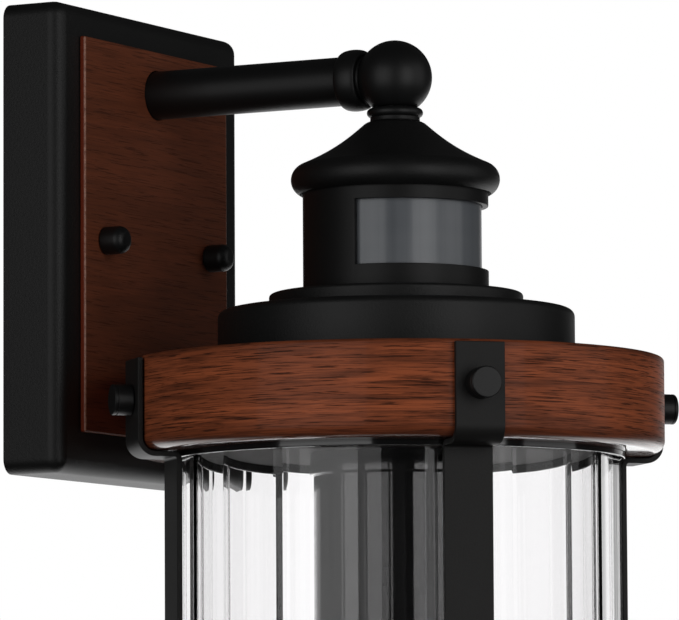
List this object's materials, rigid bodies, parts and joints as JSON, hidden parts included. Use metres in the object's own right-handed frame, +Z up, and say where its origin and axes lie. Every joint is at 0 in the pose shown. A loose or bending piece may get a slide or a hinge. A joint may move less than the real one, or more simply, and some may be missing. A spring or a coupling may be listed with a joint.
{
  "type": "outdoor wall lantern",
  "caption": "Outdoor wall lantern: a square pan with a wood face, an arm and ball, a motion-sensor head, and a glass cylinder in a wood-ringed strap cage with a bulb.",
  "frame": {"origin": "middle of the mounting bracket's back face, on the wall, level with the cap nuts", "axes": "+Z up; -Y out from the wall towards the lantern; +X to the right seen from the front"},
  "size_m": [0.178, 0.205, 0.3352],
  "materials": {
    "powder_black": "black powder coat, finely textured satin",
    "wood": "reddish brown, clear gloss lacquer",
    "rubber": "matt black",
    "zinc": "zinc plated",
    "green_screw": "green",
    "sensor_lens": "smoky blue-grey, translucent",
    "circuit_board": "green solder mask",
    "photocell": "orange",
    "relay": "dark blue",
    "clear_glass": "clear",
    "bulb_glass": "clear",
    "porcelain": "glazed white porcelain",
    "brass": "bright",
    "solder": "dull solder",
    "filament": "yellow phosphor",
    "lead": "black sheath"
  },
  "bodies": {
    "root": {"arm_collar": "powder_black", "arm_lock_nut": "zinc", "arm_tube": "powder_black", "arm_washer": "zinc", "back_pan": "powder_black", "ball_hub": "powder_black", "board_bracket": "zinc", "bottom_rim": "powder_black", "canopy": "powder_black", "cap_lock_nut": "zinc", "flange_disc": "powder_black", "glass_cylinder": "clear_glass", "glass_seal_lower": "rubber", "glass_seal_upper": "rubber", "ground_screw": "green_screw", "holder_contact": "brass", "holder_shell": "brass", "lamp_holder": "porcelain", "lamp_plate": "powder_black", "lamp_tube": "powder_black", "lower_ring": "wood", "mounting_bracket": "zinc", "mounting_stud_left": "zinc", "mounting_stud_right": "zinc", "neck_ring": "powder_black", "photocell": "photocell", "pir_detector": "zinc", "plate_nut": "zinc", "sensor_board": "circuit_board", "sensor_housing": "powder_black", "sensor_lens": "sensor_lens", "sensor_relay": "relay", "stem_pipe": "zinc", "strap_front_left": "powder_black", "strap_front_right": "powder_black", "strap_rear_left": "powder_black", "strap_rear_right": "powder_black", "strap_screw_front_left_lower": "powder_black", "strap_screw_front_left_upper": "powder_black", "strap_screw_front_right_lower": "powder_black", "strap_screw_front_right_upper": "powder_black", "strap_screw_rear_left_lower": "powder_black", "strap_screw_rear_left_upper": "powder_black", "strap_screw_rear_right_lower": "powder_black", "strap_screw_rear_right_upper": "powder_black", "supply_lead": "lead", "top_cap": "powder_black", "tube_nut": "zinc", "upper_liner": "powder_black", "upper_ring": "wood", "wall_seal": "rubber", "wood_panel": "wood"},
    "bulb": {"bulb_base": "brass", "bulb_contact": "solder", "bulb_glass": "bulb_glass", "bulb_stem": "bulb_glass", "bulb_filament_1": "filament", "bulb_filament_2": "filament"},
    "cap_nut_left": {"cap_nut_left": "powder_black"},
    "cap_nut_right": {"cap_nut_right": "powder_black"}
  },
  "joints": [
    {"name": "bulb_turn", "type": "hinge", "parent": "root", "child": "bulb", "pos_m": [0, -0.116, -0.128], "axis": [0, 0, 1], "continuous": true},
    {"name": "cap_nut_left_turn", "type": "hinge", "parent": "root", "child": "cap_nut_left", "pos_m": [-0.035, -0.03, 0], "axis": [0, -1, 0], "continuous": true},
    {"name": "cap_nut_right_turn", "type": "hinge", "parent": "root", "child": "cap_nut_right", "pos_m": [0.035, -0.03, 0], "axis": [0, -1, 0], "continuous": true}
  ]
}
